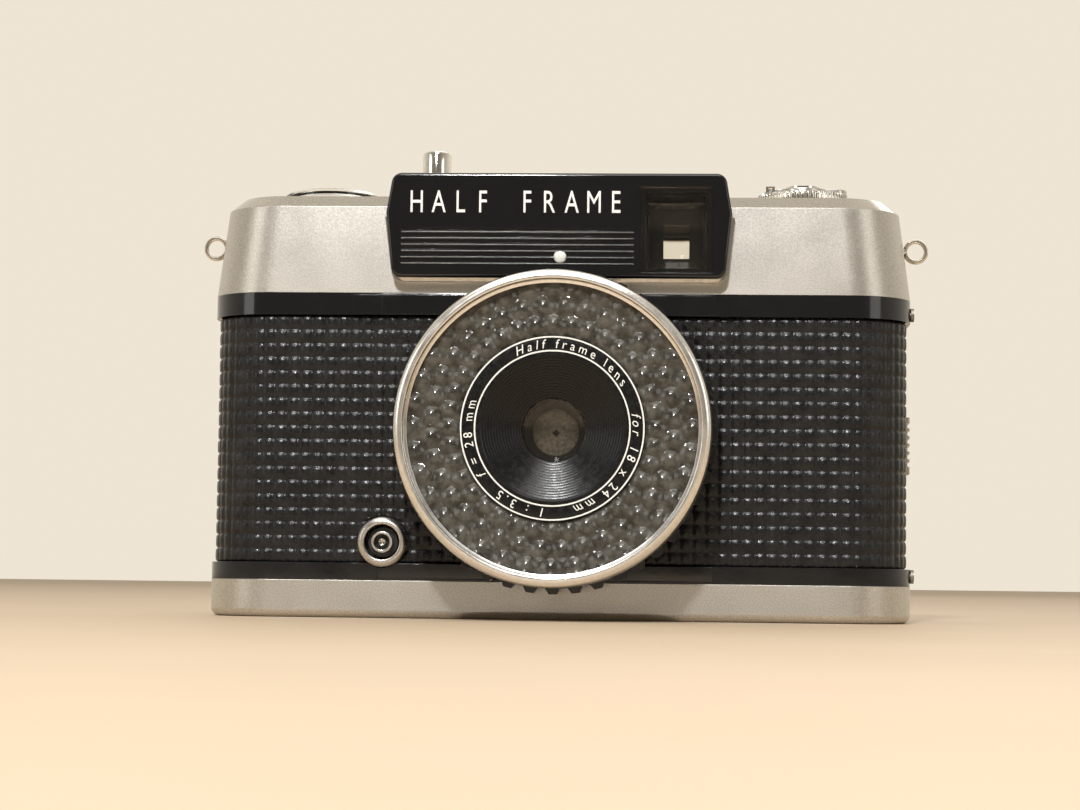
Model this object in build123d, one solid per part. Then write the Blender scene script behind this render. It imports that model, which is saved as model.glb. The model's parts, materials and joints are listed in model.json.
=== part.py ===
from build123d import *
import os
from math import atan2, cos, degrees, pi, sin

# Half frame camera. Millimetres, +Z up, the lens looks along -Y, +X is right when facing the lens.
# The origin is the mouth of the tripod socket: middle of the width and depth, on the base.

# Body envelope
BODY_W = 108.0
BODY_D = 28.0
CORNER_R = 10.0
HALF_W = BODY_W / 2
HALF_D = BODY_D / 2

# Levels, from the base up
BASE_TOP = 5.7
LEATHER_LOW = 8.3
LEATHER_HIGH = 46.1
COVER_LOW = 49.5
COVER_SHOULDER = 62.8
COVER_TOP = 64.7
PLATEAU_TOP = 67.0
SHEET = 0.8

# Leatherette: the casting and the door step in for it
LEATHER_STEP = 1.1
LEATHER_T = 0.6

# Lens
LENS_Z = 28.1
RING_FRONT = -31.0
RING_R = 23.25
FILTER_R = 21.75
NAME_R = 13.5
CONE_R = 11.15
BARREL_R = 19.0
MOUNT_R = 20.6
SETTING_R = 24.2
SETTING_TEETH = 44

# Film path: 18 x 24 mm gate, 35 mm film centred on the lens axis
GATE_W = 18.0
GATE_H = 24.0
FILM_H = 35.0
FILM_Y = 9.6
CARTRIDGE = (37.6, 0.6)
CARTRIDGE_R = 12.7
SPOOL = (-37.0, 2.2)
SPROCKET = (-21.0, 4.0)
SPROCKET_R = 5.9
CHAMBER_FLOOR = 7.6
CHAMBER_ROOF = 47.6
CARTRIDGE_FLOOR = 6.3
CAST_JOINTS = (-27.0, 23.7)
CARTRIDGE_ROOF = 50.4

# Door and its hinge
DOOR_X = -44.6
DOOR_Y = -2.8
DOOR_INNER = 2.5
HINGE = (-46.0, 12.4)
KNUCKLE_R = 1.5
REAR_EDGE = 11.2
STUD_Y = -4.8
STUD_Z = (7.2, 47.5)
LATCH_Y = 0.6

# Controls
WHEEL_R = 13.4
WHEEL_Z = (51.4, 55.6)
GEAR_MODULE = 0.7
WIND_TEETH = 26
SPROCKET_TEETH = 20
GEAR_Z = (49.7, 51.0)
AXLE_LINE = degrees(atan2(SPROCKET[1] - SPOOL[1], SPROCKET[0] - SPOOL[0]))
KNOB_R = 7.05
KNOB_Z = 64.95
BUTTON = (-20.3, 1.0)
BUTTON_R = 2.3
BUTTON_TOP = 73.6
FINDER_X = 17.8
FINDER_Z = 58.9
WINDOW_HALF = (5.5, 6.6)
INDEX_DOT = (0.3, 54.7)
SYNC = (-26.3, 11.5)
LUG_X = 55.2
LUG_Z = 58.0
SHOE_Y = (-2.2, 12.0)
SHOE_SCREWS = tuple((side * 7.2, y) for side in (-1, 1) for y in (0.0, 9.4))
BASE_SCREWS = ((-44.0, -4.0), (44.0, -4.0), (14.0, 8.0))
CRANK_AXIS = (-5.2, KNOB_Z + 2.25)

# Shutter
BLADE_PIVOT_X = 1.2
BLADE_PIVOT_Z = LENS_Z + 9.5
BLADE_T = 0.15
BLADE_Y = {"aperture_left": -16.10, "aperture_right": -15.85, "shutter_left": -15.20, "shutter_right": -14.95}

os.makedirs("parts", exist_ok=True)


def save(shape, node):
    export_step(shape, f"parts/{node}.step")


def block(x0, x1, y0, y1, z0, z1):
    return Pos((x0 + x1) / 2, (y0 + y1) / 2, (z0 + z1) / 2) * Box(x1 - x0, y1 - y0, z1 - z0)


def post(x, y, radius, z0, z1):
    return Pos(x, y, (z0 + z1) / 2) * Cylinder(radius, z1 - z0)


def rod(x, z, radius, y0, y1):
    return Pos(x, (y0 + y1) / 2, z) * Rot(90, 0, 0) * Cylinder(radius, y1 - y0)


def pin_x(y, z, radius, x0, x1):
    return Pos((x0 + x1) / 2, y, z) * Rot(0, 90, 0) * Cylinder(radius, x1 - x0)


def turned_y(points, x=0.0, z=LENS_Z):
    """Solid turned about an axis along Y: the points are (radius, y)."""
    return Pos(x, 0, z) * revolve(Polygon(*points, align=None), Axis.Y)


def turned_z(points, x, y):
    """Solid turned about an axis along Z: the points are (radius, z)."""
    return Pos(x, y, 0) * revolve(Plane.XZ * Polygon(*points, align=None), Axis.Z)


def outline(inset, z0, z1):
    """The body's plan outline, stepped in by inset, between two levels."""
    plan = RectangleRounded(BODY_W - 2 * inset, BODY_D - 2 * inset, CORNER_R - inset)
    return Pos(0, 0, z0) * extrude(plan, z1 - z0)


def toothed(teeth, root, tip, fill=0.45):
    """Flat wheel outline with trapezoid teeth; fill is the share of the pitch that a tooth's root takes."""
    pitch = 2 * pi / teeth
    points = []
    for i in range(teeth):
        mid = i * pitch
        for radius, offset in ((root, -fill / 2), (tip, -fill / 4), (tip, fill / 4), (root, fill / 2)):
            angle = mid + offset * pitch
            points.append((radius * cos(angle), radius * sin(angle)))
    return Polygon(*points, align=None)


def gear(teeth, x, y, z0, z1, turn=0.0):
    """Spur gear with a little backlash, so that a meshing pair never touches."""
    pitch_r = GEAR_MODULE * teeth / 2
    flat = toothed(teeth, pitch_r - 0.75, pitch_r + 0.5, 0.55)
    return Pos(x, y, z0) * Rot(0, 0, turn) * extrude(flat, z1 - z0)


def stepped_skin(inset_band, inset_leather, z0=BASE_TOP, z1=COVER_LOW):
    """Outline with the two black bands proud of the leatherette zone."""
    low = outline(inset_band, z0, LEATHER_LOW)
    middle = outline(inset_leather, LEATHER_LOW, LEATHER_HIGH)
    return low + middle + outline(inset_band, LEATHER_HIGH, z1)


# ---------------------------------------------------------------- body casting

def body_casting():
    skin = stepped_skin(0, LEATHER_STEP)
    front = skin & block(-60, 60, -20, DOOR_Y - 0.2, 0, 60)
    pillar = skin & block(-60, -48.2, -20, 20, 0, 60)
    core = outline(DOOR_INNER + 0.2, BASE_TOP, COVER_LOW) & block(-60, 60, -20, REAR_EDGE, 0, 60)
    tower = outline(1.1, COVER_LOW, CARTRIDGE_ROOF + 1.4) & post(*CARTRIDGE, CARTRIDGE_R + 0.5, 40, 60)
    casting = front + pillar + core + tower
    for z0, z1 in ((BASE_TOP + 0.3, LEATHER_LOW), (LEATHER_HIGH, COVER_LOW - 0.3)):
        casting += block(-31.4, 27.8, -HALF_D - 0.35, -HALF_D + 1, z0, z1)
    for z0, z1 in ((8.8, 13.4), (42.6, 46.0)):
        casting += post(*HINGE, KNUCKLE_R, z0, z1)
        casting += block(-48.4, HINGE[0], REAR_EDGE - 1, HINGE[1] + 0.4, z0, z1)
    return casting - chambers() - gate_cuts() - latch_pocket() - casting_bores()


def cast_in_three(casting):
    """The spool chamber, the middle with the film gate, and the cartridge chamber, meeting face to face."""
    left, right = CAST_JOINTS
    return [casting & block(x0, x1, -20, 20, 0, 60) for x0, x1 in ((-60, left), (left, right), (right, 60))]


def chambers():
    x, y = CARTRIDGE
    cartridge = post(x, y, CARTRIDGE_R, CARTRIDGE_FLOOR, CARTRIDGE_ROOF)
    cartridge += block(x - CARTRIDGE_R, x + CARTRIDGE_R, y, 20, CARTRIDGE_FLOOR, CARTRIDGE_ROOF)
    take_up = block(-47.2, -28.2, -11.9, 20, CHAMBER_FLOOR, CHAMBER_ROOF)
    sprocket = block(-28.4, -14.0, -3.5, 20, CHAMBER_FLOOR, CHAMBER_ROOF)
    dark_box = block(-12.0, 12.0, -11.4, FILM_Y - 2.0, 12.0, 45.0)
    bay = block(14.5, 23.4, -11.4, FILM_Y - 1.8, 10.0, COVER_LOW + 1)
    return cartridge + take_up + sprocket + dark_box + bay


def gate_cuts():
    gate = block(-GATE_W / 2, GATE_W / 2, 5, 12, LENS_Z - GATE_H / 2, LENS_Z + GATE_H / 2)
    channel = block(-14.2, 26.0, FILM_Y - 0.4, 12, LENS_Z - FILM_H / 2 - 0.1, LENS_Z + FILM_H / 2 + 0.1)
    for offset in (13.2, 16.8):
        for side in (-1, 1):
            z = LENS_Z + side * offset
            channel -= block(-13.8, 26.5, 8, FILM_Y, z - 0.6, z + 0.6)
    return gate + channel


def latch_pocket():
    cuts = block(51.3, 52.95, -6.6, DOOR_Y + 1, 42.0, 48.6)
    for z in STUD_Z:
        cuts += pin_x(STUD_Y, z, 0.55, 50.6, 55)
    return cuts


def casting_bores():
    x, z = SYNC
    cuts = rod(0, LENS_Z, 7.0, -20, -10) + rod(0, LENS_Z, MOUNT_R + 0.03, -20, -12.9)
    cuts += rod(x, z, 2.8, -20, -12.2) + rod(x, z, 3.85, -20, -12.9)
    cuts += post(*HINGE, 0.8, 5, 50)
    cuts += post(*SPOOL, 2.06, 45, 52)
    cuts += post(*SPOOL, 1.56, 5, 10)
    cuts += post(*SPROCKET, 1.56, 5, 52)
    cuts += post(*CARTRIDGE, 3.07, 48, 55)
    return cuts + post(0, 0, 5.1, 3, 9.2)


# ---------------------------------------------------------------- covers and skins

def cover_body(inset, z_low, shoulder_drop):
    """Drafted box with a sloping edge round the top, and the raised section in the middle."""
    low = Pos(0, 0, z_low) * RectangleRounded(BODY_W - 2 * inset, BODY_D - 2 * inset, CORNER_R - inset)
    z_mid = COVER_SHOULDER - shoulder_drop
    wide = Pos(0, 0, z_mid) * RectangleRounded(104.4 - 2 * inset, 27.8 - 2 * inset, 9.6 - inset)
    top = Pos(0, 0, COVER_TOP - inset) * RectangleRounded(100.0 - 2 * inset, 23.2 - 2 * inset, 7.6 - inset)
    box = loft([low.face(), wide.face()], ruled=True) + loft([wide.face(), top.face()], ruled=True)
    plateau = RectangleRounded(49.2 - 2 * inset, 27.0 - 2 * inset, 2.2 - inset)
    raised = extrude(plateau, PLATEAU_TOP - inset - z_mid)
    raised = chamfer(raised.faces().sort_by(Axis.Z)[-1].edges(), 1.0)
    return box + Pos(0, -0.3, z_mid) * raised


def top_cover():
    cover = cover_body(0, COVER_LOW, 0) - cover_body(SHEET, COVER_LOW - 0.01, 0.35)
    cover -= block(FINDER_X - 5.4, FINDER_X + 5.4, -16, -10, FINDER_Z - 6.6, FINDER_Z + 6.6)
    cover -= block(FINDER_X - 4.2, FINDER_X + 4.2, 10, 16, FINDER_Z - 3.1, FINDER_Z + 3.1)
    cover -= block(SPOOL[0] - 9.6, SPOOL[0] + 9.6, 6, 16, WHEEL_Z[0] - 0.4, WHEEL_Z[1] + 0.4)
    cover -= post(*SPOOL, 7.7, 60, 70)
    cover -= post(*CARTRIDGE, 3.1, 60, 70)
    cover -= post(*BUTTON, 3.25, 60, 70)
    cover -= block(-10.25, 10.25, SHOE_Y[0] - 0.05, SHOE_Y[1], PLATEAU_TOP - 0.9, PLATEAU_TOP + 1)
    for side in (-1, 1):
        cover -= pin_x(0, LUG_Z, 1.25, min(side * 50, side * 56), max(side * 50, side * 56))
        cover -= pin_x(0, 52.3, 0.65, min(side * 50, side * 56), max(side * 50, side * 56))
    return cover


def base_plate():
    tray = outline(0, 0, BASE_TOP)
    tray = fillet(tray.faces().sort_by(Axis.Z)[0].edges(), 1.3)
    tray -= outline(SHEET, SHEET + 0.2, BASE_TOP + 1)
    tray -= post(0, 0, 4.65, -1, 3)
    tray -= post(*SPROCKET, 3.2, -1, 3)
    for x, y in BASE_SCREWS:
        tray -= post(x, y, 0.7, -1, 3)
        tray -= post(x, y, 1.5, -1, 0.45)
    return tray


def base_screws():
    screws = []
    for x, y in BASE_SCREWS:
        head = post(x, y, 1.4, 0.08, 0.43) + post(x, y, 0.65, 0.43, BASE_TOP - 0.05)
        screws.append(head - block(x - 2, x + 2, y - 0.15, y + 0.15, 0, 0.25))
    return screws


def tripod_bush():
    bush = post(0, 0, 4.6, 0, 2.0) + post(0, 0, 5.0, 1.02, 8.9)
    return bush - post(0, 0, 2.6, -1, 7.9)


def leatherette_front(side):
    """Covering glued round one end of the casting, from the lens to the door."""
    skin = outline(LEATHER_STEP - LEATHER_T, LEATHER_LOW + 0.05, LEATHER_HIGH - 0.05)
    skin -= outline(LEATHER_STEP, 0, 60)
    if side < 0:
        keep = block(-60, 0, -20, DOOR_Y, 0, 60) + block(-60, -48.5, -20, 20, 0, 60)
    else:
        keep = block(0, 60, -20, DOOR_Y - 0.2, 0, 60)
    return (skin & keep) - rod(0, LENS_Z, MOUNT_R + 0.1, -20, -8) - rod(*SYNC, 3.9, -20, -8)


def leatherette_back():
    skin = outline(LEATHER_STEP - LEATHER_T, LEATHER_LOW + 0.05, LEATHER_HIGH - 0.05)
    skin -= outline(LEATHER_STEP, 0, 60)
    skin &= block(DOOR_X + 2.0, 60, DOOR_Y, 20, 0, 60)
    return skin - block(50, 60, LATCH_Y - 2.6, LATCH_Y + 2.6, 19.5, 34.5)


# ---------------------------------------------------------------- front bezel and finder

def front_bezel():
    half_mid, half_end = 26.2, 25.2
    z_low, z_mid, z_high = 51.5, 61.4, 67.5
    outer = Polygon(
        (-half_end, z_low), (half_end, z_low), (half_mid, z_mid),
        (half_end, z_high), (-half_end, z_high), (-half_mid, z_mid), align=None,
    )
    corners = outer.vertices().filter_by(lambda v: abs(v.Z - z_mid) > 1 and abs(v.Y - z_mid) > 1)
    plate = Pos(0, -14.05, 0) * extrude(Plane.XZ * fillet(corners, 1.6), 3.45)
    plate = fillet(plate.faces().sort_by(Axis.Y)[0].edges(), 0.5)
    half_x, half_z = WINDOW_HALF
    plate -= block(FINDER_X - half_x, FINDER_X + half_x, -18, -16.6, FINDER_Z - half_z, FINDER_Z + half_z)
    half_x, half_z = half_x - 0.8, half_z - 0.8
    plate -= block(FINDER_X - half_x, FINDER_X + half_x, -18, -13, FINDER_Z - half_z, FINDER_Z + half_z)
    for i in range(6):
        z = 54.1 + 0.96 * i
        plate -= block(-23.9, 11.5, -18, -17.25, z - 0.18, z + 0.18)
    return plate - rod(*INDEX_DOT, 1.0, -18, -17.2)


def glass_plate(half_w, y0, y1, half_h):
    pane = block(FINDER_X - half_w, FINDER_X + half_w, y0, y1, FINDER_Z - half_h, FINDER_Z + half_h)
    return fillet(pane.edges().filter_by(Axis.Y), 0.5)


def finder_tunnel():
    tunnel = block(FINDER_X - 5.3, FINDER_X + 5.3, -13.9, 12.2, FINDER_Z - 6.4, FINDER_Z + 6.4)
    tunnel -= block(FINDER_X - 4.5, FINDER_X + 4.5, -15, 14, FINDER_Z - 5.6, FINDER_Z + 5.6)
    tunnel += block(FINDER_X - 4.6, FINDER_X + 4.6, -3.0, -2.4, FINDER_Z - 5.7, FINDER_Z + 5.7)
    return tunnel - block(FINDER_X - 2.2, FINDER_X + 2.2, -4, 0, FINDER_Z - 2.9, FINDER_Z + 2.9)


def finder_lens(y_front, thickness, half_w, half_h, hollow):
    """Small rectangular finder lens with one hollow face."""
    pane = block(FINDER_X - half_w, FINDER_X + half_w, y_front, y_front + thickness,
                 FINDER_Z - half_h, FINDER_Z + half_h)
    ball_r = 14.0
    y_ball = y_front - ball_r + hollow
    return pane - Pos(FINDER_X, y_ball, FINDER_Z) * Sphere(ball_r)


def eyepiece_frame():
    frame = block(FINDER_X - 5.4, FINDER_X + 5.4, 14.0, 15.0, FINDER_Z - 3.8, FINDER_Z + 3.8)
    frame = fillet(frame.edges().filter_by(Axis.Y), 1.2)
    frame += block(FINDER_X - 4.1, FINDER_X + 4.1, 12.3, 14.2, FINDER_Z - 3.0, FINDER_Z + 3.0)
    return frame - block(FINDER_X - 3.3, FINDER_X + 3.3, 12, 16, FINDER_Z - 2.3, FINDER_Z + 2.3)


# ---------------------------------------------------------------- lens

def lens_mount():
    return turned_y([(7.2, -14.4), (7.2, -12.95), (MOUNT_R, -12.95), (MOUNT_R, -16.4),
                     (BARREL_R + 0.1, -16.4), (BARREL_R + 0.1, -14.4)])


def lens_barrel():
    return turned_y([(17, -14.45), (BARREL_R, -14.45), (BARREL_R, -26.0), (22.4, -26.0), (22.4, -26.9),
                     (CONE_R + 0.05, -26.9), (CONE_R + 0.05, -26.0), (17, -26.0)])


def setting_ring():
    """Speed and aperture ring, with a band of grip teeth and a narrower scale in front of it."""
    grip = Plane.XZ * toothed(SETTING_TEETH, SETTING_R - 0.9, SETTING_R, 0.7)
    ring = Pos(0, -17.7, LENS_Z) * extrude(grip, 4.0)
    ring += turned_y([(BARREL_R + 2, -21.6), (23.2, -21.6), (22.6, -24.0), (BARREL_R + 2, -24.0)])
    return ring - rod(0, LENS_Z, BARREL_R + 0.06, -26, -10)


def front_ring():
    return turned_y([(22.5, -24.6), (22.95, -24.6), (RING_R, -25.4), (RING_R, -29.3), (22.95, -30.5),
                     (22.45, RING_FRONT), (22.05, RING_FRONT), (FILTER_R, -30.7), (FILTER_R, -28.95),
                     (22.5, -28.95)])


def annulus(r0, r1, y0, y1):
    return turned_y([(r0, y0), (r1, y0), (r1, y1), (r0, y1)])


def lens_cell():
    """Tube that holds the front glass, with a stepped black cone in front of it."""
    steps = 7
    r_front, r_back = 10.7, 4.2
    y_front, y_back = -28.85, -24.7
    points = []
    for i in range(steps):
        radius = r_front + (r_back - r_front) * i / (steps - 1)
        y_here = y_front + (y_back - y_front) * i / steps
        y_next = y_front + (y_back - y_front) * (i + 1) / steps
        points += [(radius, y_here), (radius, y_next)]
    points += [(4.2, -24.2), (4.75, -24.2), (4.75, -17.15), (9.0, -17.15), (9.0, -26.95), (CONE_R, -26.95),
               (CONE_R, y_front)]
    return turned_y(points)


def face_line(radius, y_rim, bulge):
    if bulge == 0:
        return Line((0, y_rim), (radius, y_rim))
    return ThreePointArc((0, y_rim + bulge), (radius * 0.5, y_rim + bulge * 0.75), (radius, y_rim))


def lens_element(radius, y_front, y_back, sag_front, sag_back):
    """Glass turned about the lens axis; a positive sag bulges outward."""
    y0, y1 = y_front - sag_front, y_back + sag_back
    profile = Line((0, y1), (0, y0)) + Line((radius, y_front), (radius, y_back))
    profile += face_line(radius, y_front, -sag_front) + face_line(radius, y_back, sag_back)
    return Pos(0, 0, LENS_Z) * revolve(make_face(profile), Axis.Y)


def shutter_unit():
    """Housing with the blade pivots; the blades swing in the space inside."""
    housing = turned_y([(4.8, -17.1), (16.6, -17.1), (16.6, -14.45), (4.8, -14.45)])
    housing -= turned_y([(0, -16.4), (15.4, -16.4), (15.4, -14.65), (0, -14.65)])
    for side in (-1, 1):
        housing += rod(side * BLADE_PIVOT_X, BLADE_PIVOT_Z, 0.5, -16.6, -14.5)
    return housing


def blade(name):
    """Half of a disc on an arm; the left and right blades mirror each other about the lens axis."""
    side = -1 if name.endswith("left") else 1
    lap = 0.0 if name.startswith("aperture") else 0.6
    y0 = BLADE_Y[name]
    y1 = y0 + BLADE_T
    near, far = sorted((-side * lap, side * 8.0))
    leaf = rod(0, LENS_Z, 5.4, y0, y1) & block(near, far, -20, -10, 10, 50)
    if name.startswith("aperture"):
        leaf -= Pos(0, -15.5, LENS_Z) * Rot(0, 45, 0) * Box(0.8, 2, 0.8)
    pivot_x = side * BLADE_PIVOT_X
    inner, outer = sorted((side * 0.4, side * 3.4))
    leaf += block(inner, outer, y0, y1, LENS_Z + 3.5, BLADE_PIVOT_Z - 0.4)
    leaf += rod(pivot_x, BLADE_PIVOT_Z, 1.1, y0, y1)
    return leaf - rod(pivot_x, BLADE_PIVOT_Z, 0.56, -20, -10)


def rear_cell():
    return turned_y([(4.8, -12.9), (6.9, -12.9), (6.9, -11.2), (6.2, -11.2), (6.2, -6.6), (4.8, -6.6)])


# ---------------------------------------------------------------- sync socket, lugs, shoe

def sync_collar():
    return turned_y([(2.65, -15.2), (3.3, -15.2), (3.8, -14.8), (3.8, -12.95), (2.75, -12.95), (2.75, -12.3),
                     (2.3, -12.3), (2.3, -12.8), (2.65, -13.1)], *SYNC)


def sync_pieces():
    x, z = SYNC
    insulator = rod(x, z, 2.25, -13.3, -12.3) - rod(x, z, 0.62, -15, -12)
    sleeve = rod(x, z, 1.63, -14.9, -13.32) - rod(x, z, 1.2, -16, -12)
    contact = rod(x, z, 0.6, -14.6, -12.4)
    return insulator, sleeve, contact


def strap_lug(side):
    ring = rod(side * LUG_X, LUG_Z, 2.0, -0.6, 0.6)
    stem0, stem1 = sorted((side * 51.4, side * (LUG_X - 1.6)))
    ring += pin_x(0, LUG_Z, 1.1, stem0, stem1)
    return ring - rod(side * LUG_X, LUG_Z, 1.25, -2, 2)


def hot_shoe():
    """Rails for an 18.6 mm wide foot, 2 mm thick, open at the back."""
    z = PLATEAU_TOP
    y0, y1 = SHOE_Y
    shoe = block(-10.2, 10.2, y0, y1, z - 0.85, z)
    for side in (-1, 1):
        inner, outer = sorted((side * 9.4, side * 10.2))
        lip0, lip1 = sorted((side * 6.3, side * 10.2))
        shoe += block(inner, outer, y0, y1, z - 0.1, z + 2.3)
        shoe += block(lip0, lip1, y0, y1, z + 2.15, z + 2.75)
    shoe += block(-6.3, 6.3, y0, y0 + 0.8, z - 0.1, z + 1.6)
    for x, y in SHOE_SCREWS:
        shoe -= post(x, y, 0.65, z - 2, z + 1)
    return shoe


def shoe_screws():
    z = PLATEAU_TOP
    return [post(x, y, 1.3, z + 0.02, z + 0.35) + post(x, y, 0.6, z - 2.4, z + 0.02) for x, y in SHOE_SCREWS]


# ---------------------------------------------------------------- winding

def wind_wheel():
    z_low, z_high = WHEEL_Z
    wheel = Pos(*SPOOL, z_low) * extrude(toothed(72, WHEEL_R - 0.55, WHEEL_R, 0.62), z_high - z_low)
    wheel -= post(*SPOOL, 11.0, WHEEL_Z[0] + 1.4, WHEEL_Z[1] + 1)
    wheel += post(*SPOOL, 3.4, GEAR_Z[1], WHEEL_Z[0] + 3.0)
    wheel += post(*SPOOL, 2.0, 41.0, WHEEL_Z[0] + 1) + post(*SPOOL, 1.5, WHEEL_Z[0], 62.0)
    return wheel + gear(WIND_TEETH, *SPOOL, *GEAR_Z, AXLE_LINE)


def take_up_spool():
    x, y = SPOOL
    spool = post(x, y, 5.6, 9.2, 46.4) + post(x, y, 8.4, 9.2, 10.0) + post(x, y, 8.4, 46.0, 46.8)
    spool += post(x, y, 1.5, 6.2, 9.4)
    spool -= block(x - 7, x + 7, y - 0.6, y + 0.6, 12.0, 40.0)
    return spool - post(x, y, 2.06, 40.6, 50)


def sprocket_drum():
    x, y = SPROCKET
    drum = post(x, y, SPROCKET_R, LENS_Z - 17.2, LENS_Z - 11.0)
    drum += post(x, y, SPROCKET_R, LENS_Z + 11.0, LENS_Z + 17.2)
    drum += post(x, y, 4.6, LENS_Z - 11.2, LENS_Z + 11.2)
    for row in (-1, 1):
        for i in range(8):
            tooth = block(SPROCKET_R - 0.3, SPROCKET_R + 0.8, -0.55, 0.55, -0.9, 0.9)
            drum += Pos(x, y, LENS_Z + row * 14.1) * Rot(0, 0, 45 * i) * tooth
    drum += post(x, y, 1.5, 7.0, GEAR_Z[1] + 0.4)
    # Half a pitch of turn puts a gap of this gear opposite a tooth of the wind wheel's gear.
    return drum + gear(SPROCKET_TEETH, x, y, *GEAR_Z, AXLE_LINE + 180 / SPROCKET_TEETH)


def counter_dial():
    x, y = SPOOL
    return post(x, y, 6.9, 62.3, 62.8) + post(x, y, 2.6, 57.0, 62.4) - post(x, y, 1.55, 50, 62.1)


def counter_window():
    outer = turned_z([(0, 67.7), (4.4, 67.5), (7.0, 66.8), (7.6, 66.2), (7.6, 63.85), (8.4, 63.85),
                      (8.4, 63.2), (0, 63.2)], *SPOOL)
    return outer - turned_z([(0, 67.0), (4.2, 66.8), (6.6, 66.2), (7.0, 65.8), (7.0, 62), (0, 62)], *SPOOL)


# ---------------------------------------------------------------- rewinding

def rewind_knob():
    x, y = CARTRIDGE
    z = KNOB_Z
    knob = Pos(x, y, z) * extrude(toothed(60, KNOB_R - 0.3, KNOB_R, 0.6), 1.8)
    knob -= post(x, y, 6.2, z + 1.3, z + 5)
    knob += post(x, y, 2.65, z + 0.9, z + 3.2)
    knob -= block(x - 1.6, x + 1.6, y - 0.25, y + 0.25, z + 2.8, z + 5)
    for side in (-1, 1):
        knob += block(x - 5.9, x - 4.5, y + side * 3.0 - 0.5, y + side * 3.0 + 0.5, z + 0.9, z + 2.9)
    return knob - crank_pin()


def rewind_crank():
    x, y = CARTRIDGE
    z0, z1 = CRANK_AXIS[1] - 0.45, CRANK_AXIS[1] + 0.45
    arm = block(x - 5.2, x + 5.0, y - 1.9, y + 1.9, z0, z1) + post(x, y, 3.9, z0, z1)
    arm += rod(x - 5.2, CRANK_AXIS[1], 0.45, y - 1.9, y + 1.9) + post(x + 5.0, y, 1.9, z0, z1)
    arm -= post(x, y, 2.85, 60, 70)
    return arm - rod(x + CRANK_AXIS[0], CRANK_AXIS[1], 0.31, y - 4, y + 4)


def crank_pin():
    x, y = CARTRIDGE
    return rod(x + CRANK_AXIS[0], CRANK_AXIS[1], 0.29, y - 3.5, y + 3.5)


def rewind_shaft():
    x, y = CARTRIDGE
    shaft = post(x, y, 3.0, 44.2, KNOB_Z)
    shaft -= block(x - 4, x + 4, y - 1.1, y + 1.1, 40, 48.0)
    return shaft


def rewind_sleeve():
    return post(*CARTRIDGE, 4.0, 53.0, 57.4) - post(*CARTRIDGE, 3.05, 50, 60)


# ---------------------------------------------------------------- shutter button and meter

def shutter_button():
    x, y = BUTTON
    top = turned_z([(0, 64.4), (BUTTON_R, 64.4), (BUTTON_R, BUTTON_TOP - 0.35), (BUTTON_R - 0.35, BUTTON_TOP),
                    (1.35, BUTTON_TOP), (1.05, BUTTON_TOP - 0.4), (1.05, BUTTON_TOP - 4.5),
                    (0, BUTTON_TOP - 4.5)], x, y)
    return top + post(x, y, 1.2, 54.0, 64.5)


def button_guide():
    x, y = BUTTON
    guide = turned_z([(2.36, 57.0), (2.36, PLATEAU_TOP + 1.1), (2.9, PLATEAU_TOP + 1.1),
                      (3.9, PLATEAU_TOP + 0.6), (3.9, PLATEAU_TOP + 0.02),
                      (3.2, PLATEAU_TOP + 0.02), (3.2, 56.2), (1.28, 56.2), (1.28, 57.0)], x, y)
    return guide


def meter_movement():
    return turned_z([(0, 51.0), (6.8, 51.0), (6.8, 57.6), (1.0, 57.6), (1.0, 58.2), (0, 58.2)], -4.0, -3.0)


def meter_needle():
    needle = block(-4.0, 4.5, -3.12, -2.88, 58.35, 58.6) + post(-4.0, -3.0, 1.4, 58.35, 58.6)
    return needle + block(-8.0, -4.0, -3.3, -2.7, 58.35, 58.6)


# ---------------------------------------------------------------- door, latch, pressure plate, base button

def back_door():
    shell = stepped_skin(0, LEATHER_STEP, BASE_TOP + 0.2, COVER_LOW - 0.2)
    shell -= outline(DOOR_INNER, 0, 60)
    shell &= block(DOOR_X, 60, DOOR_Y, 20, 0, 60)
    shell += post(*HINGE, KNUCKLE_R, 13.6, 42.4) + block(HINGE[0], DOOR_X + 1, 11.5, 12.9, 13.6, 42.4)
    shell -= post(*HINGE, 0.8, 5, 50)
    shell -= block(51.0, 52.4, LATCH_Y - 1.3, LATCH_Y + 1.3, 8.6, 48.0)
    shell -= block(51.0, 52.4, DOOR_Y - 1, LATCH_Y, 42.0, 48.0)
    return shell - block(50, 56, LATCH_Y - 1.0, LATCH_Y + 1.0, 20.9, 31.1)


def door_latch():
    """Bar with a hook that catches the upper stud, moved down by a ribbed slider on the outside."""
    z = STUD_Z[1]
    bar = block(51.6, 52.3, LATCH_Y - 1.2, LATCH_Y + 1.2, 12.0, z - 0.7)
    bar += block(51.6, 52.3, -6.0, LATCH_Y + 1.2, z - 1.7, z - 0.7)
    bar += block(51.6, 52.3, -6.0, -5.5, z - 1.7, z + 0.4)
    bar += block(52.2, 53.6, LATCH_Y - 0.9, LATCH_Y + 0.9, 24.0, 31.0)
    slider = block(53.2, 54.2, LATCH_Y - 2.2, LATCH_Y + 2.2, 23.0, 32.0)
    for i in range(6):
        slider -= block(53.9, 55, LATCH_Y - 3, LATCH_Y + 3, 24.3 + 1.2 * i, 24.9 + 1.2 * i)
    return bar + slider


def catch_studs():
    studs = []
    for z in STUD_Z:
        head = pin_x(STUD_Y, z, 1.05, HALF_W + 0.02, HALF_W + 0.5)
        studs.append(pin_x(STUD_Y, z, 0.5, 50.8, HALF_W + 0.1) + head)
    return Compound(studs)


def hinge_pin():
    return post(*HINGE, 0.75, 8.9, 45.9)


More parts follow.
